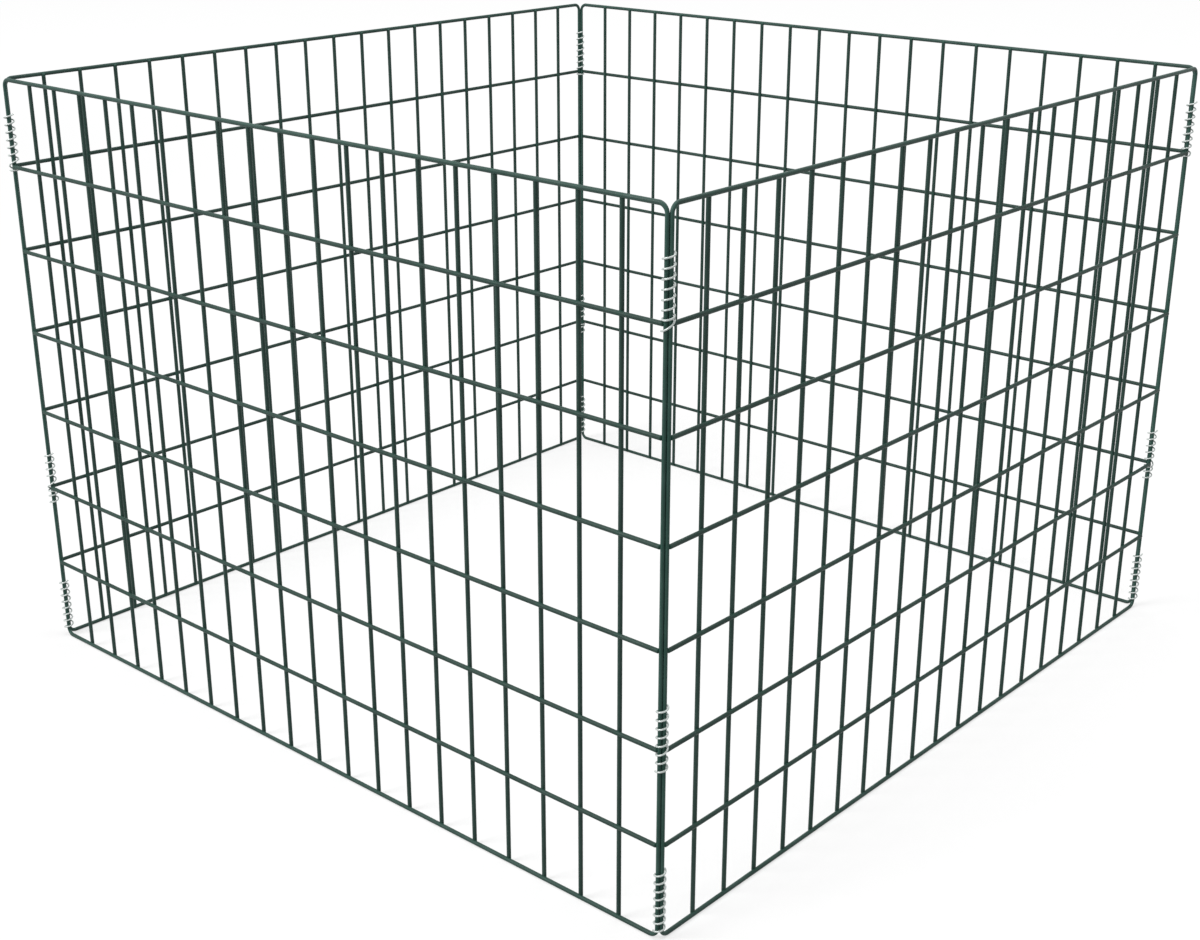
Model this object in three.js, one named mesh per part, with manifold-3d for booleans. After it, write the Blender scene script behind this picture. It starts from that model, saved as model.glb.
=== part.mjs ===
// A wire mesh compost bin: four welded wire panels stand in a square without a floor, and three
// spiral wires at each corner hold the neighbouring side rods together and let the panels swing.
//
// Millimetres. +X is the right-hand side, +Y the back and +Z up. The origin lies on the ground
// under the middle of the bin.
//
// Every panel is drawn as the front one and then turned about Z. In its own place the front panel
// runs along X, its plane is normal to Y, and +Y is the inside of the bin.

import * as THREE from 'three';
import { mergeVertices } from 'three/addons/utils/BufferGeometryUtils.js';
import Module from 'manifold-3d';

const wasm = await Module();
wasm.setup();

// Driving dimensions of a panel.
const panelLength = 1070; // between the centres of the two side rods
const panelHeight = 771; // over the top and bottom of the bent rod
const rodDiameter = 5; // the rod bent round the panel's edge
const rodBendRadius = 9; // of the rod's centreline at the four corners
const uprightDiameter = 5;
const levelWireDiameter = 5;
const bayCount = 20; // spaces from side rod to side rod, with an upright between each two
const rowCount = 7; // spaces from bottom to top, with a level wire between each two
const weldDepth = 1.9; // how far an upright sinks into the bent rod
const uprightEndInset = 0.7; // an upright's cut end stays this far inside the bent rod's outer side
const seatGap = 0.3; // between pieces that lie against each other

// Driving dimensions of a spiral.
const spiralWireDiameter = 2;
const spiralPitch = 9.3;
const spiralTurnCount = 7.5;
const spiralPhase = Math.PI / 12; // past the first side rod's outer side, where a spiral starts
const levelWireClearance = 0.8; // above and below a level wire that a spiral winds across

// Facets.
const bendSegments = 4;
const wireSides = 6;
const spiralSides = 5;
const stepsPerTurn = 8;

// Sizes that follow.
const rodRadius = rodDiameter / 2;
const uprightRadius = uprightDiameter / 2;
const levelWireRadius = levelWireDiameter / 2;
const spiralWireRadius = spiralWireDiameter / 2;
const wireFlatShare = Math.cos(Math.PI / wireSides); // a wire's flats, as a share of its radius
const rodSpacing = rodDiameter + seatGap; // between the two side rods that meet at a corner
const panelPlane = panelLength / 2 + rodSpacing / Math.SQRT2; // from the bin's middle
const uprightDepth = rodRadius + uprightRadius * wireFlatShare - weldDepth;
const levelWireDepth = uprightDepth - (uprightRadius + levelWireRadius) * wireFlatShare - seatGap;
const bayWidth = panelLength / bayCount;
const rowHeight = (panelHeight - rodDiameter) / rowCount;
const levelWireHeight = (row) => rodRadius + row * rowHeight;

// The steps of a spiral are straight, so its radius keeps their middles clear of the side rods.
const spiralRadius = rodSpacing / 2
  + (rodRadius + seatGap + spiralWireRadius) / Math.cos(Math.PI / stepsPerTurn);
const spiralCentre = panelPlane - rodSpacing / 2 / Math.SQRT2;

const coatedSteel = (colour) => new THREE.MeshStandardMaterial({
  color: colour, roughness: 0.45, metalness: 0.1,
});
const zincPlated = () => new THREE.MeshStandardMaterial({
  color: 0xc8d3ce, roughness: 0.3, metalness: 0.85,
});

// Turns a three.js geometry into a solid that can be joined to others.
function toSolid(geometry) {
  const bare = geometry.clone();
  bare.deleteAttribute('normal');
  bare.deleteAttribute('uv');
  const merged = mergeVertices(bare);
  return new wasm.Manifold(new wasm.Mesh({
    numProp: 3,
    vertProperties: new Float32Array(merged.attributes.position.array),
    triVerts: new Uint32Array(merged.index.array),
  }));
}

function fromSolid(solid) {
  const mesh = solid.getMesh();
  const geometry = new THREE.BufferGeometry();
  geometry.setAttribute('position', new THREE.BufferAttribute(mesh.vertProperties, 3));
  geometry.setIndex(new THREE.BufferAttribute(mesh.triVerts, 1));
  geometry.computeVertexNormals();
  return geometry;
}

// A rounded rectangle about the middle of the panel, as a shape or as a hole.
function roundedOutline(Path, halfWidth, halfHeight, radius) {
  const path = new Path();
  const x = halfWidth - radius;
  const y = halfHeight - radius;
  path.absarc(x, y, radius, 0, Math.PI / 2, false);
  path.absarc(-x, y, radius, Math.PI / 2, Math.PI, false);
  path.absarc(-x, -y, radius, Math.PI, Math.PI * 3 / 2, false);
  path.absarc(x, -y, radius, Math.PI * 3 / 2, Math.PI * 2, false);
  path.closePath();
  return path;
}

// The rod bent round the panel's edge: an eight-sided section with flats on its four main sides.
function bentRod() {
  const halfWidth = panelLength / 2;
  const halfHeight = (panelHeight - rodDiameter) / 2;
  const outline = roundedOutline(
    THREE.Shape, halfWidth + rodRadius, halfHeight + rodRadius, rodBendRadius + rodRadius);
  outline.holes.push(roundedOutline(
    THREE.Path, halfWidth - rodRadius, halfHeight - rodRadius, rodBendRadius - rodRadius));
  const flat = rodDiameter * Math.tan(Math.PI / 8);
  const chamfer = (rodDiameter - flat) / 2;
  const rod = new THREE.ExtrudeGeometry(outline, {
    depth: flat,
    bevelEnabled: true,
    bevelThickness: chamfer,
    bevelSize: chamfer,
    bevelOffset: -chamfer,
    bevelSegments: 1,
    curveSegments: bendSegments,
  });
  rod.translate(0, 0, -flat / 2);
  rod.rotateX(Math.PI / 2);
  return rod.translate(0, 0, panelHeight / 2);
}

// A straight wire along Z about the origin, with flats facing +Y and -Y.
function straightWire(radius, length) {
  const wire = new THREE.CylinderGeometry(radius, radius, length, wireSides, 1, false, Math.PI / wireSides);
  return wire.rotateX(Math.PI / 2);
}

// The bent rod and its uprights are welded into one frame. The uprights stand on the inner side.
function panelFrame() {
  const length = panelHeight - uprightEndInset * 2;
  let frame = toSolid(bentRod());
  for (let bay = 1; bay < bayCount; bay += 1) {
    const upright = straightWire(uprightRadius, length);
    upright.translate(bay * bayWidth - panelLength / 2, uprightDepth, panelHeight / 2);
    frame = frame.add(toSolid(upright));
  }
  return fromSolid(frame);
}

// A level wire lies across the outside of the uprights and ends against the side rods.
function levelWire() {
  const length = panelLength - (rodRadius + seatGap) * 2;
  return straightWire(levelWireRadius, length).rotateY(Math.PI / 2);
}

// The heights of a spiral's stations, one for each step, counted round from the outer side of the
// first side rod. The wire climbs at the pitch, apart from the half turn on the bin's outside where
// it crosses from below a level wire to above it.
function spiralHeights({ row, tipsBelow, lowestTip }) {
  const stationCount = spiralTurnCount * stepsPerTurn + 1;
  const crossingStart = row ? (tipsBelow - 1) * stepsPerTurn : stationCount;
  const crossingEnd = crossingStart + stepsPerTurn / 2;
  const crossingRise = (levelWireRadius + spiralWireRadius + levelWireClearance) * 2;
  const heights = [0];
  for (let station = 1; station < stationCount; station += 1) {
    const crossing = station > crossingStart && station <= crossingEnd;
    const rise = crossing ? crossingRise / (stepsPerTurn / 2) : spiralPitch / stepsPerTurn;
    heights.push(heights[station - 1] + rise);
  }
  const base = row ? levelWireHeight(row) - crossingRise / 2 - heights[crossingStart] : lowestTip;
  return heights.map((height) => height + base);
}

// The centreline of a spiral about its own axis, with the first side rod towards -X and -Y. Each
// end runs on straight for one wire diameter.
function spiralPath(heights) {
  const firstRod = Math.PI * 5 / 4;
  const points = heights.map((height, station) => {
    const angle = firstRod + spiralPhase + station * Math.PI * 2 / stepsPerTurn;
    return new THREE.Vector3(
      Math.cos(angle) * spiralRadius, Math.sin(angle) * spiralRadius, height);
  });
  const tail = (end, next) => {
    const reach = end.clone().sub(next).setLength(spiralWireDiameter);
    return end.clone().add(reach);
  };
  points.unshift(tail(points[0], points[1]));
  points.push(tail(points.at(-1), points.at(-2)));
  return points;
}

// A closed tube round a path that winds about Z: one ring of points a station, and two flat ends.
function windingTube(path, radius, sides) {
  const positions = [];
  const faces = [];
  path.forEach((point, station) => {
    const before = path[Math.max(station - 1, 0)];
    const after = path[Math.min(station + 1, path.length - 1)];
    const along = after.clone().sub(before).normalize();
    const outward = new THREE.Vector3(point.x, point.y, 0).normalize();
    outward.addScaledVector(along, -outward.dot(along)).normalize();
    const upward = along.clone().cross(outward);
    for (let side = 0; side < sides; side += 1) {
      const angle = side * Math.PI * 2 / sides;
      const place = point.clone()
        .addScaledVector(outward, Math.cos(angle) * radius)
        .addScaledVector(upward, Math.sin(angle) * radius);
      positions.push(place.x, place.y, place.z);
    }
  });
  for (let station = 1; station < path.length; station += 1) {
    for (let side = 0; side < sides; side += 1) {
      const next = (side + 1) % sides;
      const lower = (station - 1) * sides;
      const upper = station * sides;
      faces.push(lower + side, lower + next, upper + next);
      faces.push(lower + side, upper + next, upper + side);
    }
  }
  const last = (path.length - 1) * sides;
  for (let side = 1; side < sides - 1; side += 1) {
    faces.push(0, side + 1, side);
    faces.push(last, last + side, last + side + 1);
  }
  const geometry = new THREE.BufferGeometry();
  geometry.setAttribute('position', new THREE.Float32BufferAttribute(positions, 3));
  geometry.setIndex(faces);
  geometry.computeVertexNormals();
  return geometry;
}

// The least gap between the turns of a wound wire, measured on points along its steps.
function leastGap(path, diameter) {
  const samplesPerStep = 6;
  const samples = [];
  for (let station = 1; station < path.length; station += 1) {
    for (let sample = 0; sample < samplesPerStep; sample += 1) {
      samples.push(path[station - 1].clone().lerp(path[station], sample / samplesPerStep));
    }
  }
  const halfTurn = samplesPerStep * stepsPerTurn / 2;
  let least = Infinity;
  for (let first = 0; first < samples.length; first += 1) {
    for (let second = first + halfTurn; second < samples.length; second += 1) {
      least = Math.min(least, samples[first].distanceTo(samples[second]) - diameter);
    }
  }
  return least;
}

// The three spirals of a corner, from top to bottom. Two wind across a level wire, counted in rows
// from the bottom, with some of their turns below it. The lowest one starts where the rods bend.
const spirals = [
  { name: 'top', row: 6, tipsBelow: 1 },
  { name: 'middle', row: 2, tipsBelow: 3 },
  { name: 'bottom', lowestTip: rodRadius + rodBendRadius - spiralWireRadius },
];

// Each side of the bin, with the corner at the right-hand end of its panel as seen from outside.
const sides = [
  { name: 'front', corner: 'front_right' },
  { name: 'right', corner: 'back_right' },
  { name: 'back', corner: 'back_left' },
  { name: 'left', corner: 'front_left' },
];

const bin = new THREE.Group();
const frameGeometry = panelFrame();
const levelWireGeometry = levelWire();
const spiralGeometries = spirals.map((spiral) => {
  const path = spiralPath(spiralHeights(spiral));
  console.log(`${spiral.name} spiral: least gap to itself ${leastGap(path, spiralWireDiameter).toFixed(2)} mm`);
  return windingTube(path, spiralWireRadius, spiralSides);
});

sides.forEach((side, index) => {
  const place = new THREE.Group();
  place.rotation.z = index * Math.PI / 2;

  const frame = new THREE.Mesh(frameGeometry, coatedSteel(0x33544a));
  frame.name = `${side.name}_frame`;
  frame.position.set(0, -panelPlane, 0);
  place.add(frame);

  for (let row = 1; row < rowCount; row += 1) {
    const wire = new THREE.Mesh(levelWireGeometry, coatedSteel(0x3c6457));
    wire.name = `${side.name}_level_wire_${row}`;
    wire.position.set(0, levelWireDepth - panelPlane, levelWireHeight(row));
    place.add(wire);
  }

  spirals.forEach((spiral, number) => {
    const coil = new THREE.Mesh(spiralGeometries[number], zincPlated());
    coil.name = `${side.corner}_spiral_${spiral.name}`;
    coil.position.set(spiralCentre, -spiralCentre, 0);
    place.add(coil);
  });

  bin.add(place);
});

export default bin;
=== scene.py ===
"""Looks of a wire mesh compost bin: round green coated wires with their welds, and plated spirals.

Metres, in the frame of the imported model: +X right, +Y back, +Z up, with the origin on the ground
below the middle of the bin. Each panel is made as the front one and then turned about Z.
"""

import math

import bpy
import numpy as np
from mathutils import Matrix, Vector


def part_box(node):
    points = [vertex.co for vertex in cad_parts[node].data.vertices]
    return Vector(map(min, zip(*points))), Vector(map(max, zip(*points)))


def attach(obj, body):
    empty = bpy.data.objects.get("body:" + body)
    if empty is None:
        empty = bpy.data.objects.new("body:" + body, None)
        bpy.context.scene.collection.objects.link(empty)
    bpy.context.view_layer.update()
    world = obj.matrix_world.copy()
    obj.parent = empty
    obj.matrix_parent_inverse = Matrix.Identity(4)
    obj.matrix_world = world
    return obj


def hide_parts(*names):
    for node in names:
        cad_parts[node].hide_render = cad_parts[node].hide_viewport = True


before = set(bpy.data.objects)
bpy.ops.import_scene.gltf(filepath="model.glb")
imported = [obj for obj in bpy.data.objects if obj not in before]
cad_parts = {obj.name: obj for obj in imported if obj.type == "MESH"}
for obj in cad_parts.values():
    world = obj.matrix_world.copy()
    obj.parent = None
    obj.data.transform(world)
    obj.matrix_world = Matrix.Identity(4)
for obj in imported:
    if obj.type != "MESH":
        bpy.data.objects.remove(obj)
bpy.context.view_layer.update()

MM = 0.001

# Wires
ROD_RADIUS = 2.5 * MM
SIDE_ROD_RADIUS = 2.2 * MM
UPRIGHT_RADIUS = 2.5 * MM
UPRIGHT_END_INSET = 1.8 * MM
LEVEL_WIRE_RADIUS = 2.5 * MM
BEND_RADIUS = 9 * MM
ROD_SPACING = 5.3 * MM
SIDE_ROD_LEAN = 0.325 * MM
BAY_COUNT = 20
ROW_COUNT = 7
WIRE_SIDES = 20
BEND_STEPS = 14
LEAST_STEP = 0.2 * MM
SHARP_EDGE = math.radians(50)
# The rounding of a cut wire end: lengths from its tip and the radius at each, both as shares of
# the wire's own radius.
TIP_PLACES = [0, 0.12, 0.35]
TIP_SHARES = [0.65, 0.8775, 1]
# A wire of the CAD has six sides, so its flats lie nearer to its middle than its corners.
CAD_FLAT_SHARE = math.cos(math.pi / 6)

# Welds
WELD_WIDTH = 3.1 * MM
WELD_DEPTH = 1.7 * MM
ROD_WELD_HEIGHT = 1.8 * MM
END_WELD_WIDTH = 2.7 * MM
END_WELD_DEPTH = 1.5 * MM
END_WELD_SINK = 0.9 * MM
BEAD_ROWS, BEAD_COLUMNS = 7, 10
# How far a weld shows along the coat of its wires, and the stations round it as shares of that.
WELD_REACH = 5 * MM
WELD_STATIONS = [-1, -0.6, -0.3, 0, 0.3, 0.6, 1]
# How much further crossing wires are pressed into each other than in the CAD.
WELD_SET_DOWN = 0.7 * MM

# Spirals
SPIRAL_WIRE_RADIUS = 1 * MM
SPIRAL_RADIUS = 5.8 * MM
SPIRAL_PITCH = 9.55 * MM
SPIRAL_TURNS = 7.5
SPIRAL_CLEARANCE = 0.8 * MM
SPIRAL_STEPS = 32
SMOOTHED_STEPS = 5
# The angles, seen from a spiral's own corner, between which it is free of the folding panels, and
# how much it may climb there for each radian.
PASS_FROM = math.radians(255)
PASS_TO = math.radians(410)
PASS_CLIMB = 4 * MM

# Each side with the corner at its right end, and the direction in which that corner's spirals
# start, in degrees from the bin's +X.
SIDES = [
    {"name": "front", "corner": "front_right", "spiral_start": 240},
    {"name": "right", "corner": "back_right", "spiral_start": 184},
    {"name": "back", "corner": "back_left", "spiral_start": 150},
    {"name": "left", "corner": "front_left", "spiral_start": 195},
]

# A spiral starts at a height measured from the level wire of its row, and passes that wire in the
# free angles that come after the given number of whole turns. The bottom one passes none.
SPIRALS = [
    {"name": "top", "row": 6, "start": -6.3 * MM, "turns_below": 0},
    {"name": "middle", "row": 2, "start": -23 * MM, "turns_below": 2},
    {"name": "bottom", "row": None},
]

# Coats. A pair of roughnesses belongs to the low and the high end of a texture.
DUST = (0.34, 0.36, 0.33)
WELD_GREEN = (0.018, 0.075, 0.054)
WELD_POOLING = 0.45
WELD_RISE = 0.8
WAVE_SHARE = 1.6
DUST_COVER = 0.18
COAT_ROUGHNESS = (0.5, 0.38)
COAT_SPECULAR = 0.16
ZINC_ROUGHNESS = (0.24, 0.42)
ZINC_METALLIC = 0.25
ZINC_COLOUR = (0.60, 0.65, 0.63)
ZINC_EVENNESS = 0.35
ZINC_LINES = (26, 60, 1)

frame_low, frame_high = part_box("front_frame")
HALF_LENGTH = (frame_high.x - frame_low.x) / 2 - ROD_RADIUS
TOP_HEIGHT = frame_high.z - ROD_RADIUS
BOTTOM_HEIGHT = frame_low.z + ROD_RADIUS
ROD_PLANE = frame_low.y + ROD_RADIUS
UPRIGHT_PLANE = frame_high.y - UPRIGHT_RADIUS * CAD_FLAT_SHARE - WELD_SET_DOWN


def turned(points, quarter):
    """Points turned about Z by a whole number of quarter turns."""
    cosine, sine = [(1, 0), (0, 1), (-1, 0), (0, -1)][quarter]
    turn = np.array([[cosine, sine, 0], [-sine, cosine, 0], [0, 0, 1]], float)
    return points @ turn


def unit(vectors):
    """Each row divided by its length."""
    return vectors / np.linalg.norm(vectors, axis=-1, keepdims=True)


class Surface:
    """Points and faces gathered from several grids. Each point has a place on the wound UV map, a
    nearness to welds and a share of standing side rod, which picks the side rods' painted
    lighter colours."""

    def __init__(self):
        self.points = []
        self.faces = []
        self.uv = []
        self.weld = []
        self.standing = []
        self.count = 0

    def add(self, points, faces, uv, weld, standing):
        self.points.append(points)
        self.faces.extend([corner + self.count for corner in face] for face in faces)
        self.uv.append(uv)
        self.weld.append(weld)
        self.standing.append(standing)
        self.count += len(points)

    def tube(self, centres, outward, radii, closed=False, welds=(), standing=0):
        """A round wire: each centre has a ring round it, in the plane of its outward direction n
        and of t x n, where t is the direction of travel. A closed wire joins its last ring to its
        first, and an open one ends in two flat faces."""
        count = len(centres)
        if closed:
            along = unit(np.roll(centres, -1, 0) - np.roll(centres, 1, 0))
        else:
            along = unit(np.gradient(centres, axis=0))
        side = unit(np.cross(along, outward))
        angle = np.linspace(0, math.tau, WIRE_SIDES, endpoint=False)
        ring = (outward[:, None] * np.cos(angle)[:, None] + side[:, None] * np.sin(angle)[:, None])
        points = centres[:, None] + ring * np.asarray(radii)[:, None, None]
        step = np.linalg.norm(np.diff(centres, axis=0), axis=1)
        length = np.concatenate([[0], np.cumsum(step)])
        uv = np.stack(np.broadcast_arrays(angle / math.tau, length[:, None]), -1)
        near = np.zeros(count)
        for weld in welds:
            distance = np.linalg.norm(centres - weld, axis=1)
            near = np.maximum(near, np.exp(-(distance / WELD_REACH) ** 2))
        first = np.arange(count - (not closed))[:, None] * WIRE_SIDES
        second = (first + WIRE_SIDES) % (count * WIRE_SIDES)
        here = np.arange(WIRE_SIDES)
        there = (here + 1) % WIRE_SIDES
        quads = np.stack(np.broadcast_arrays(
            first + here, second + here, second + there, first + there), -1).reshape(-1, 4)
        faces = quads.tolist()
        if not closed:
            last = (count - 1) * WIRE_SIDES
            faces.append(list(range(WIRE_SIDES)))
            faces.append(list(range(last + WIRE_SIDES - 1, last - 1, -1)))
        self.add(points.reshape(-1, 3), faces, uv.reshape(-1, 2), np.repeat(near, WIRE_SIDES),
                 np.repeat(np.broadcast_to(standing, count), WIRE_SIDES))

    def ball(self, centre, reach):
        """A squashed ball: a grid of latitude and longitude between two poles, with its own reach
        along each axis."""
        rows, columns = BEAD_ROWS, BEAD_COLUMNS
        latitude = np.linspace(-math.pi / 2, math.pi / 2, rows)[1:-1, None]
        longitude = np.linspace(0, math.tau, columns, endpoint=False)
        shape = np.stack(np.broadcast_arrays(
            np.cos(latitude) * np.cos(longitude),
            np.cos(latitude) * np.sin(longitude),
            np.sin(latitude)), -1).reshape(-1, 3)
        shape = np.vstack([shape, [[0, 0, -1], [0, 0, 1]]])
        bottom, top = len(shape) - 2, len(shape) - 1
        here = np.arange(columns)
        there = (here + 1) % columns
        rings = np.arange(rows - 3)[:, None] * columns
        quads = np.stack(np.broadcast_arrays(
            rings + here, rings + there, rings + columns + there, rings + columns + here), -1)
        last = (rows - 3) * columns
        faces = quads.reshape(-1, 4).tolist()
        faces += [[b, a, bottom] for a, b in zip(here.tolist(), there.tolist())]
        faces += [[last + a, last + b, top] for a, b in zip(here.tolist(), there.tolist())]
        self.add(shape * reach + centre, faces, shape[:, :2] * WELD_WIDTH,
                 np.ones(len(shape)), np.zeros(len(shape)))

    def piece(self, name, quarter, material, body, nodes):
        """The gathered mesh as a smooth piece that rides on a body and stands for its nodes."""
        mesh = bpy.data.meshes.new(name)
        points = turned(np.vstack(self.points), quarter)
        mesh.from_pydata(points.tolist(), [], self.faces)
        mesh.update()
        loops = np.zeros(len(mesh.loops), np.int32)
        mesh.loops.foreach_get("vertex_index", loops)
        layer = mesh.uv_layers.new(name="wound")
        layer.data.foreach_set("uv", np.vstack(self.uv)[loops].astype(np.float32).ravel())
        for label, values in (("weld", self.weld), ("standing", self.standing)):
            marks = mesh.attributes.new(label, "FLOAT", "POINT")
            marks.data.foreach_set("value", np.concatenate(values).astype(np.float32))
        mesh.polygons.foreach_set("use_smooth", np.ones(len(mesh.polygons), bool))
        mesh.set_sharp_from_angle(angle=SHARP_EDGE)
        mesh.materials.append(material)
        made = bpy.data.objects.new(name, mesh)
        bpy.context.scene.collection.objects.link(made)
        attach(made, body)
        if nodes:
            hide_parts(*nodes)


def new_group(name, inputs, outputs):
    """An empty shader node group with named inputs and outputs, and its two end nodes."""
    group = bpy.data.node_groups.new(name, "ShaderNodeTree")
    for label, kind, default in inputs:
        socket = group.interface.new_socket(name=label, in_out="INPUT", socket_type=kind)
        if default is not None:
            socket.default_value = default
    for label, kind in outputs:
        group.interface.new_socket(name=label, in_out="OUTPUT", socket_type=kind)
    return group, group.nodes.new("NodeGroupInput"), group.nodes.new("NodeGroupOutput")


def noise(nodes, links, vector, scale, detail):
    """The grey level of a noise texture with the given scale and detail."""
    node = nodes.new("ShaderNodeTexNoise")
    node.inputs["Scale"].default_value = scale
    node.inputs["Detail"].default_value = detail
    node.inputs["Roughness"].default_value = 0.5
    links.new(vector, node.inputs["Vector"])
    return node.outputs["Fac"]


def ramp(nodes, links, value, stops):
    """The colour at a value between two stops, each a place and a colour."""
    node = nodes.new("ShaderNodeValToRGB")
    for element, (place, colour) in zip(node.color_ramp.elements, stops):
        element.position = place
        element.color = (*colour, 1)
    links.new(value, node.inputs["Fac"])
    return node.outputs["Color"]


def scaled(nodes, links, value, factor):
    """A value times a constant number."""
    node = nodes.new("ShaderNodeMath")
    node.operation = "MULTIPLY"
    node.inputs[1].default_value = factor
    links.new(value, node.inputs[0])
    return node.outputs[0]


def scaled_and_added(nodes, links, value, factor, other):
    """A value times a constant number, plus another value."""
    node = nodes.new("ShaderNodeMath")
    node.operation = "MULTIPLY_ADD"
    node.inputs[1].default_value = factor
    links.new(value, node.inputs[0])
    links.new(other, node.inputs[2])
    return node.outputs[0]


def attribute(nodes, name):
    """The number that a mesh holds for each of its points under a name."""
    node = nodes.new("ShaderNodeAttribute")
    node.attribute_name = name
    return node.outputs["Fac"]


def between(nodes, links, value, limits):
    """A value from 0 to 1, mapped so that it runs from the first limit to the second."""
    node = nodes.new("ShaderNodeMapRange")
    node.inputs["To Min"].default_value, node.inputs["To Max"].default_value = limits
    links.new(value, node.inputs["Value"])
    return node.outputs[0]


def bump(nodes, links, height, strength, distance, shader):
    """Small relief on a shader, from a height."""
    node = nodes.new("ShaderNodeBump")
    node.inputs["Strength"].default_value = strength
    node.inputs["Distance"].default_value = distance
    links.new(height, node.inputs["Height"])
    links.new(node.outputs["Normal"], shader.inputs["Normal"])


def coating_group():
    """The skin of a sprayed and baked coat: a fine pebbled height, slow changes of shade, and
    small pale specks of dust."""
    group, ends, out = new_group(
        "sprayed_coat",
        [("Vector", "NodeSocketVector", None), ("Weld", "NodeSocketFloat", 0.0)],
        [(name, "NodeSocketFloat") for name in ("Shade", "Specks", "Height")],
    )
    nodes, links = group.nodes, group.links
    black, white = (0, 0, 0), (1, 1, 1)
    place = ends.outputs["Vector"]
    slow = noise(nodes, links, place, scale=28, detail=3)
    shade = ramp(nodes, links, slow, [(0.3, black), (0.7, white)])
    links.new(shade, out.inputs["Shade"])
    dust = noise(nodes, links, place, scale=900, detail=2)
    specks = ramp(nodes, links, dust, [(0.66, black), (0.74, white)])
    links.new(specks, out.inputs["Specks"])
    pebbles = noise(nodes, links, place, scale=1400, detail=1)
    waves = noise(nodes, links, place, scale=260, detail=2)
    height = scaled_and_added(nodes, links, waves, WAVE_SHARE, pebbles)
    height = scaled_and_added(nodes, links, ends.outputs["Weld"], WELD_RISE, height)
    links.new(height, out.inputs["Height"])
    return group


def base_material(name):
    """A material with its Principled shader, and its nodes and links."""
    material = bpy.data.materials.new(name)
    material.use_nodes = True
    nodes, links = material.node_tree.nodes, material.node_tree.links
    return material, nodes, links, nodes["Principled BSDF"]


# The sockets of a mix node that hold its two colours and give their mix.
MIX_FIRST, MIX_SECOND, MIX_RESULT = 6, 7, 2


def mixed(nodes, links, factor, first, second):
    """The mix of two colours by a factor, each of them a value or a socket."""
    node = nodes.new("ShaderNodeMix")
    node.data_type = "RGBA"
    for index, value in ((MIX_FIRST, first), (MIX_SECOND, second)):
        if isinstance(value, tuple):
            node.inputs[index].default_value = (*value, 1)
        else:
            links.new(value, node.inputs[index])
    if isinstance(factor, float):
        node.inputs[0].default_value = factor
    else:
        links.new(factor, node.inputs[0])
    return node.outputs[MIX_RESULT]


def green_coat(name, dark, light, lit_side_rod_colours=None):
    """Dark green baked coat on steel wire: it pools and shows greener round the welds. The side
    rods of a panel can have their own, lighter pair of colours: painted light, standing in for
    the light that the standing rods catch."""
    material, nodes, links, shader = base_material(name)
    place = nodes.new("ShaderNodeTexCoord")
    weld = attribute(nodes, "weld")
    coat = nodes.new("ShaderNodeGroup")
    coat.node_tree = COAT
    links.new(place.outputs["Object"], coat.inputs["Vector"])
    links.new(weld, coat.inputs["Weld"])

    colour = mixed(nodes, links, coat.outputs["Shade"], dark, light)
    # Painted light: the side rods take a lighter pair of greens, for the light they catch.
    if lit_side_rod_colours:
        other = mixed(nodes, links, coat.outputs["Shade"], *lit_side_rod_colours)
        colour = mixed(nodes, links, attribute(nodes, "standing"), colour, other)
    pooled = scaled(nodes, links, weld, WELD_POOLING)
    colour = mixed(nodes, links, pooled, colour, WELD_GREEN)
    dusty = scaled(nodes, links, coat.outputs["Specks"], DUST_COVER)
    colour = mixed(nodes, links, dusty, colour, DUST)
    links.new(colour, shader.inputs["Base Color"])
    finish = between(nodes, links, coat.outputs["Shade"], COAT_ROUGHNESS)
    links.new(finish, shader.inputs["Roughness"])
    shader.inputs["Specular IOR Level"].default_value = COAT_SPECULAR
    bump(nodes, links, coat.outputs["Height"], strength=0.25, distance=0.1 * MM, shader=shader)
    return material


def plated_wire(name):
    """Bright zinc on drawn wire: fine lines along the wire and a faint cloudy bloom."""
    material, nodes, links, shader = base_material(name)
    wound = nodes.new("ShaderNodeUVMap")
    wound.uv_map = "wound"
    stretch = nodes.new("ShaderNodeMapping")
    stretch.inputs["Scale"].default_value = ZINC_LINES
    links.new(wound.outputs["UV"], stretch.inputs["Vector"])
    lines = noise(nodes, links, stretch.outputs["Vector"], scale=1, detail=3)
    place = nodes.new("ShaderNodeTexCoord")
    cloud = noise(nodes, links, place.outputs["Object"], scale=320, detail=3)
    bloom = ramp(nodes, links, cloud, [(0.35, (0.49, 0.54, 0.52)), (0.65, (0.67, 0.72, 0.70))])
    colour = mixed(nodes, links, ZINC_EVENNESS, bloom, ZINC_COLOUR)
    links.new(colour, shader.inputs["Base Color"])
    shader.inputs["Metallic"].default_value = ZINC_METALLIC
    finish = between(nodes, links, lines, ZINC_ROUGHNESS)
    links.new(finish, shader.inputs["Roughness"])
    bump(nodes, links, lines, strength=0.3, distance=0.05 * MM, shader=shader)
    return material


COAT = coating_group()
# Painted shade: one green coat in lit and shaded copies, rod lightest, level wires darkest.
ROD_COAT = green_coat("green_coated_rod", (0.0265, 0.056, 0.046), (0.044, 0.082, 0.070),
                      [(0.032, 0.081, 0.065), (0.053, 0.119, 0.098)])
UPRIGHT_COAT = green_coat("green_coated_upright", (0.0245, 0.049, 0.041), (0.043, 0.079, 0.067))
LEVEL_COAT = green_coat("green_coated_level_wire", (0.0205, 0.040, 0.0335), (0.036, 0.065, 0.055))
WELD_COAT = green_coat("green_coated_weld", (0.015, 0.054, 0.039), (0.027, 0.082, 0.062))
ZINC = plated_wire("zinc_plated_wire")


def stations(low, high, welds):
    """Places along a straight wire: its two ends and some round each weld."""
    near = np.array(WELD_STATIONS) * WELD_REACH
    places = np.concatenate([[low, high], (np.asarray(welds)[:, None] + near).ravel()])
    places = np.unique(np.round(places[(places >= low) & (places <= high)], 6))
    return places[np.concatenate([[True], np.diff(places) > LEAST_STEP])]


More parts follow.
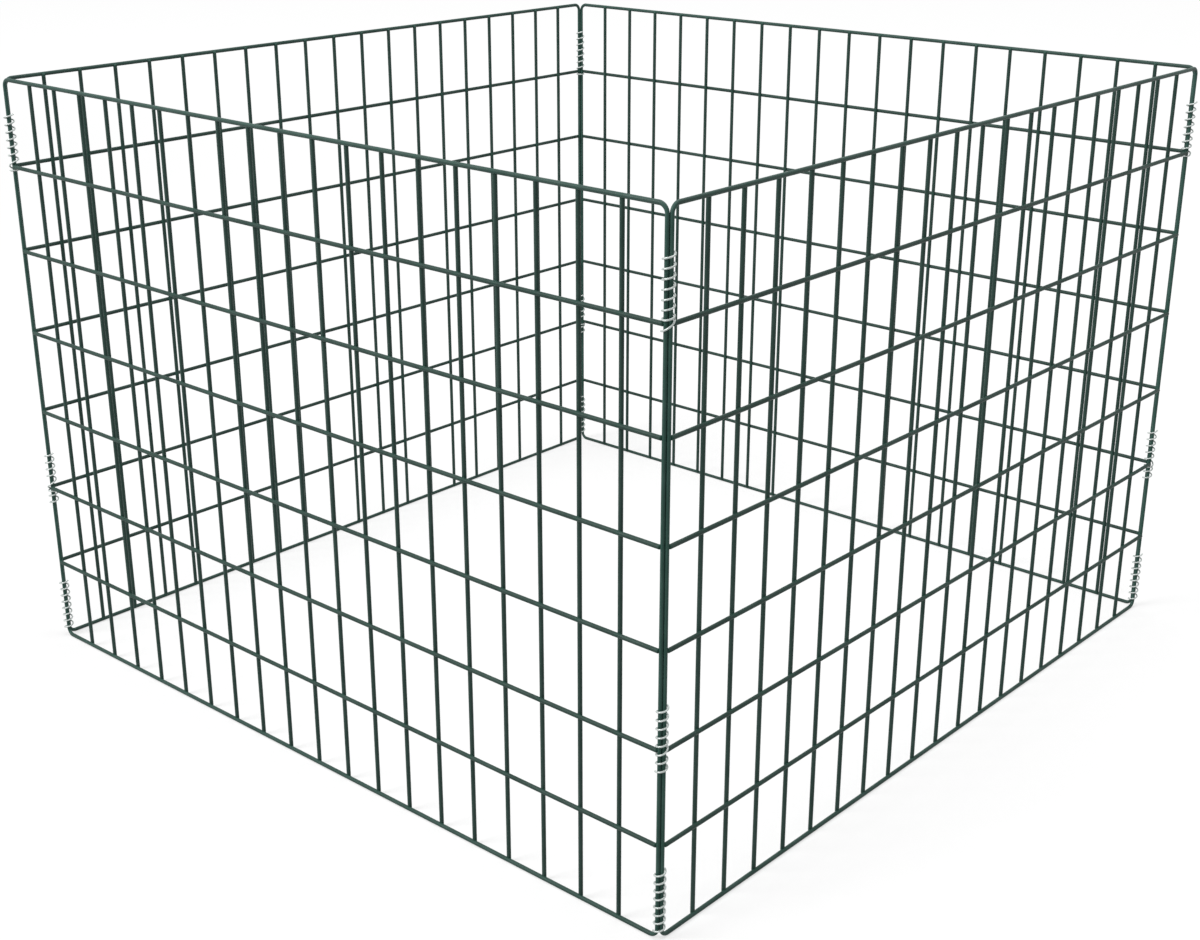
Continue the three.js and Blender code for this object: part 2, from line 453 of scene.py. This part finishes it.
UPRIGHT_PLACES = [HALF_LENGTH * (2 * bay / BAY_COUNT - 1) for bay in range(1, BAY_COUNT)]
LEVEL_BOXES = [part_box(f"front_level_wire_{row}") for row in range(1, ROW_COUNT)]
LEVEL_HEIGHTS = [(low.z + high.z) / 2 for low, high in LEVEL_BOXES]
LEVEL_PLANE = (LEVEL_BOXES[0][0].y + LEVEL_BOXES[0][1].y) / 2 + WELD_SET_DOWN
UPRIGHT_LOW = BOTTOM_HEIGHT - ROD_RADIUS + UPRIGHT_END_INSET
UPRIGHT_HIGH = TOP_HEIGHT + ROD_RADIUS - UPRIGHT_END_INSET


def bent_rod_path():
    """The rod round the panel, of four quarter circles and four straights: its centres, the
    direction that points out of the panel's edge at each, and its radius there. The more that
    direction is sideways, the closer the rod leans to its neighbour and the slimmer it is."""
    x, low, high = HALF_LENGTH, BOTTOM_HEIGHT, TOP_HEIGHT
    corners = [
        (x - BEND_RADIUS, high - BEND_RADIUS, 0),
        (BEND_RADIUS - x, high - BEND_RADIUS, 1),
        (BEND_RADIUS - x, low + BEND_RADIUS, 2),
        (x - BEND_RADIUS, low + BEND_RADIUS, 3),
    ]
    along = stations(BEND_RADIUS - x, x - BEND_RADIUS, UPRIGHT_PLACES)[1:-1]
    upward = stations(low + BEND_RADIUS, high - BEND_RADIUS, LEVEL_HEIGHTS)[1:-1]
    centres, outward = [], []
    straights = [(along[::-1], high, 1), (upward[::-1], -x, 0), (along, low, 1), (upward, x, 0)]
    for (cx, cz, quarter), (places, level, flat) in zip(corners, straights):
        angle = (quarter + np.linspace(0, 1, BEND_STEPS + 1)) * math.pi / 2
        out = np.stack([np.cos(angle), 0 * angle, np.sin(angle)], -1)
        centres.append(out * BEND_RADIUS + [cx, ROD_PLANE, cz])
        outward.append(out)
        level = np.full(len(places), level)
        spots = [places, level] if flat else [level, places]
        centres.append(np.stack([spots[0], np.full(len(places), ROD_PLANE), spots[1]], -1))
        outward.append(np.repeat(out[-1:], len(places), 0))
    centres, outward = np.vstack(centres), np.vstack(outward)
    sideways = outward[:, 0]
    lean = np.stack([sideways, np.abs(sideways), 0 * sideways], -1) * SIDE_ROD_LEAN
    radii = ROD_RADIUS + (SIDE_ROD_RADIUS - ROD_RADIUS) * np.abs(sideways)
    return centres + lean, outward, radii


def straight(surface, start, end, places, radius, outward, welds):
    """A straight wire with slightly rounded ends, and its places given as lengths from start."""
    start, end = np.array(start), np.array(end)
    length = np.linalg.norm(end - start)
    tip = np.array(TIP_PLACES) * radius
    middle = places[(places > tip[-1]) & (places < length - tip[-1])]
    spots = np.concatenate([tip, middle, length - tip[::-1]])
    radii = np.concatenate([TIP_SHARES, np.ones(len(middle)), TIP_SHARES[::-1]]) * radius
    centres = start + (end - start) / length * spots[:, None]
    surface.tube(centres, np.repeat([outward], len(spots), 0), radii, welds=welds)


def panel(side, quarter):
    """One panel: its bent rod, its uprights, its level wires and the welds between them."""
    body = f"{side}_panel"
    rod = Surface()
    centres, outward, radii = bent_rod_path()
    welds = [(x, ROD_PLANE, z) for x in UPRIGHT_PLACES for z in (BOTTOM_HEIGHT, TOP_HEIGHT)]
    welds += [(x, ROD_PLANE, z) for x in (-HALF_LENGTH, HALF_LENGTH) for z in LEVEL_HEIGHTS]
    rod.tube(centres, outward, radii, closed=True, welds=welds, standing=np.abs(outward[:, 0]))
    rod.piece(f"{side}_bent_rod", quarter, ROD_COAT, body, [f"{side}_frame"])

    uprights = Surface()
    length = UPRIGHT_HIGH - UPRIGHT_LOW
    heights = [BOTTOM_HEIGHT, *LEVEL_HEIGHTS, TOP_HEIGHT]
    for x in UPRIGHT_PLACES:
        welds = [(x, UPRIGHT_PLANE, z) for z in heights]
        places = stations(0, length, np.array(heights) - UPRIGHT_LOW)
        straight(uprights, (x, UPRIGHT_PLANE, UPRIGHT_LOW), (x, UPRIGHT_PLANE, UPRIGHT_HIGH),
                 places, UPRIGHT_RADIUS, (0, -1, 0), welds)
    uprights.piece(f"{side}_uprights", quarter, UPRIGHT_COAT, body, [])

    reach = HALF_LENGTH - SIDE_ROD_RADIUS + END_WELD_SINK
    for row, z in enumerate(LEVEL_HEIGHTS, 1):
        wire = Surface()
        ends = [-HALF_LENGTH, *UPRIGHT_PLACES, HALF_LENGTH]
        welds = [(x, LEVEL_PLANE, z) for x in ends]
        places = stations(0, 2 * reach, np.array(ends) + reach)
        straight(wire, (-reach, LEVEL_PLANE, z), (reach, LEVEL_PLANE, z), places,
                 LEVEL_WIRE_RADIUS, (0, -1, 0), welds)
        wire.piece(f"{side}_level_wire_{row}_round", quarter, LEVEL_COAT, body,
                   [f"{side}_level_wire_{row}"])

    beads = Surface()
    for x in UPRIGHT_PLACES:
        for z in LEVEL_HEIGHTS:
            place = (x, (LEVEL_PLANE + UPRIGHT_PLANE) / 2, z)
            beads.ball(place, (WELD_WIDTH, WELD_DEPTH, WELD_WIDTH))
        for z in (BOTTOM_HEIGHT, TOP_HEIGHT):
            place = (x, (ROD_PLANE + UPRIGHT_PLANE) / 2, z)
            beads.ball(place, (WELD_WIDTH, WELD_DEPTH, ROD_WELD_HEIGHT))
    for end in (-1, 1):
        for z in LEVEL_HEIGHTS:
            place = (end * (HALF_LENGTH - SIDE_ROD_RADIUS), LEVEL_PLANE + SIDE_ROD_LEAN, z)
            beads.ball(place, (END_WELD_DEPTH, END_WELD_WIDTH, END_WELD_WIDTH))
    beads.piece(f"{side}_weld_beads", quarter, WELD_COAT, body, [])


def spiral_heights(turns, angle, spiral):
    """The height of a spiral after each number of turns, at angles seen from its own corner. It
    climbs at the pitch, but keeps its clearance below its level wire until it comes to the free
    angles, climbs past the wire there no steeper than allowed, and keeps its clearance above the
    wire after them."""
    if not spiral["row"]:
        return BOTTOM_HEIGHT + BEND_RADIUS - SPIRAL_WIRE_RADIUS + turns * SPIRAL_PITCH
    clear = LEVEL_WIRE_RADIUS + SPIRAL_WIRE_RADIUS + SPIRAL_CLEARANCE
    passing = angle - math.tau * spiral["turns_below"]
    height = spiral["start"] + turns * SPIRAL_PITCH
    height = np.minimum(height, np.maximum(0, passing - PASS_FROM) * PASS_CLIMB - clear)
    height = np.maximum(height, clear - np.maximum(0, PASS_TO - passing) * PASS_CLIMB)
    half = SMOOTHED_STEPS // 2
    before = 2 * height[0] - height[1:half + 1][::-1]
    after = 2 * height[-1] - height[-half - 1:-1][::-1]
    padded = np.concatenate([before, height, after])
    smooth = np.convolve(padded, np.ones(SMOOTHED_STEPS) / SMOOTHED_STEPS, "valid")
    return LEVEL_HEIGHTS[spiral["row"] - 1] + smooth


def corner_spirals(corner, quarter, start):
    """The three spirals of a corner. Each winds round the line halfway between the two side rods,
    from the given direction on, and has straight ends of one wire diameter."""
    inward = np.array([-1, 1, 0]) / math.sqrt(2)
    axis = np.array([-ROD_PLANE, ROD_PLANE, 0]) + inward * ROD_SPACING / 2
    for spiral in SPIRALS:
        turns = np.linspace(0, SPIRAL_TURNS, round(SPIRAL_TURNS * SPIRAL_STEPS) + 1)
        angle = math.radians(start - 90 * quarter) + turns * math.tau
        out = np.stack([np.cos(angle), np.sin(angle), 0 * angle], -1)
        height = spiral_heights(turns, angle, spiral)
        centres = axis + out * SPIRAL_RADIUS + np.stack([0 * height, 0 * height, height], -1)
        ends = []
        for last, before in ((centres[0], centres[1]), (centres[-1], centres[-2])):
            ends.append(last + unit(last - before) * 2 * SPIRAL_WIRE_RADIUS)
        centres = np.vstack([ends[0], centres, ends[1]])
        out = np.vstack([out[:1], out, out[-1:]])
        wire = Surface()
        wire.tube(centres, out, np.full(len(centres), SPIRAL_WIRE_RADIUS))
        node = f"{corner}_spiral_{spiral['name']}"
        wire.piece(f"{node}_round", quarter, ZINC, f"{corner}_spirals", [node])


for quarter, side in enumerate(SIDES):
    panel(side["name"], quarter)
    corner_spirals(side["corner"], quarter, side["spiral_start"])


# The camera's place, directions and lens, as the photograph has them, off the front right corner.
IMAGE_WIDTH, IMAGE_HEIGHT = 1200, 940
FOCAL_PIXELS = 1790.7
CENTRE_PIXEL = (595.7, 481.7)
SENSOR_WIDTH = 36
CAMERA_PLACE = (1.5182, -1.7416, 1.1123)
CAMERA_RIGHT = (0.74822, 0.66346, -0.0003)
CAMERA_AHEAD = (-0.61817, 0.69696, -0.36347)

# The studio. The world's two strengths are the one that lights and the one that is seen. The glow
# grows from its first value to its second over the glow distance.
WORLD_STRENGTH = (0.4, 1)
FLOOR_REACH = 8
FLOOR_COLOUR = (0.35, 0.35, 0.35)
BRIGHTEST_SPOT = (-0.7, -1.5, 0)
GLOW = (0.57, 0.83)
GLOW_DISTANCE = 6
NEARLY_UPRIGHT = 0.99


def add_camera():
    """A camera at the photograph's place, angle and lens."""
    ahead = unit(np.array(CAMERA_AHEAD))
    right = np.array(CAMERA_RIGHT)
    right = unit(right - ahead * (right @ ahead))
    up = np.cross(right, ahead)
    data = bpy.data.cameras.new("camera")
    data.sensor_fit = "HORIZONTAL"
    data.sensor_width = SENSOR_WIDTH
    data.lens = SENSOR_WIDTH * FOCAL_PIXELS / IMAGE_WIDTH
    data.shift_x = (IMAGE_WIDTH / 2 - CENTRE_PIXEL[0]) / IMAGE_WIDTH
    data.shift_y = (CENTRE_PIXEL[1] - IMAGE_HEIGHT / 2) / IMAGE_WIDTH
    camera = bpy.data.objects.new("camera", data)
    bpy.context.scene.collection.objects.link(camera)
    turn = Matrix(np.column_stack([right, up, -ahead]).tolist()).to_4x4()
    camera.matrix_world = Matrix.Translation(CAMERA_PLACE) @ turn
    bpy.context.scene.camera = camera


def add_area_light(name, place, size, power):
    """A square lamp at a place, turned towards the middle of the bin. One that looks nearly
    straight down has its sides along X and Y."""
    data = bpy.data.lights.new(name, "AREA")
    data.size = size
    data.energy = power
    lamp = bpy.data.objects.new(name, data)
    bpy.context.scene.collection.objects.link(lamp)
    middle = np.array([0, 0, TOP_HEIGHT / 2])
    back = unit(np.array(place) - middle)
    slanted = abs(back[2]) < NEARLY_UPRIGHT
    side = unit(np.cross((0, 0, 1), back)) if slanted else np.array([1.0, 0, 0])
    turn = Matrix(np.column_stack([side, np.cross(back, side), back]).tolist()).to_4x4()
    lamp.matrix_world = Matrix.Translation(place) @ turn


def seen_directly(nodes, links):
    """1 for rays from the camera and for mirror and glass rays, otherwise 0."""
    path = nodes.new("ShaderNodeLightPath")
    total = path.outputs["Is Camera Ray"]
    for other in ("Is Glossy Ray", "Is Transmission Ray"):
        add = nodes.new("ShaderNodeMath")
        add.operation = "MAXIMUM"
        links.new(total, add.inputs[0])
        links.new(path.outputs[other], add.inputs[1])
        total = add.outputs[0]
    return total


def add_world():
    """A white backdrop for the eye and for reflections, and a softer grey light on everything."""
    world = bpy.data.worlds.new("studio")
    world.use_nodes = True
    bpy.context.scene.world = world
    nodes, links = world.node_tree.nodes, world.node_tree.links
    background = nodes["Background"]
    background.inputs["Color"].default_value = (1, 1, 1, 1)
    strength = between(nodes, links, seen_directly(nodes, links), WORLD_STRENGTH)
    links.new(strength, background.inputs["Strength"])


def add_floor():
    """A plain pale floor that keeps the bin's shadow. The glow that the eye sees grows with the
    distance from the spot that the lamps light most, so that their light and the glow together
    stay as white as the backdrop."""
    reach = FLOOR_REACH
    corners = [(-reach, -reach, 0), (reach, -reach, 0), (reach, reach, 0), (-reach, reach, 0)]
    mesh = bpy.data.meshes.new("floor")
    mesh.from_pydata(corners, [], [(0, 1, 2, 3)])
    floor = bpy.data.objects.new("floor", mesh)
    bpy.context.scene.collection.objects.link(floor)
    material, nodes, links, shader = base_material("pale_floor")
    shader.inputs["Base Color"].default_value = (*FLOOR_COLOUR, 1)
    shader.inputs["Roughness"].default_value = 1
    shader.inputs["Specular IOR Level"].default_value = 0
    shader.inputs["Emission Color"].default_value = (1, 1, 1, 1)
    place = nodes.new("ShaderNodeTexCoord")
    distance = nodes.new("ShaderNodeVectorMath")
    distance.operation = "DISTANCE"
    distance.inputs[1].default_value = BRIGHTEST_SPOT
    links.new(place.outputs["Object"], distance.inputs[0])
    growth = nodes.new("ShaderNodeMapRange")
    growth.inputs["From Max"].default_value = GLOW_DISTANCE
    growth.inputs["To Min"].default_value, growth.inputs["To Max"].default_value = GLOW
    links.new(distance.outputs["Value"], growth.inputs["Value"])
    glow = nodes.new("ShaderNodeMath")
    glow.operation = "MULTIPLY"
    links.new(growth.outputs[0], glow.inputs[0])
    links.new(seen_directly(nodes, links), glow.inputs[1])
    links.new(glow.outputs[0], shader.inputs["Emission Strength"])
    mesh.materials.append(material)


add_camera()
add_world()
add_floor()
add_area_light("key", place=(-1.7, -3.8, 3.4), size=2.4, power=170)
add_area_light("overhead", place=(0.3, 0.2, 4.2), size=2.6, power=90)
bpy.context.scene.view_settings.view_transform = "Standard"
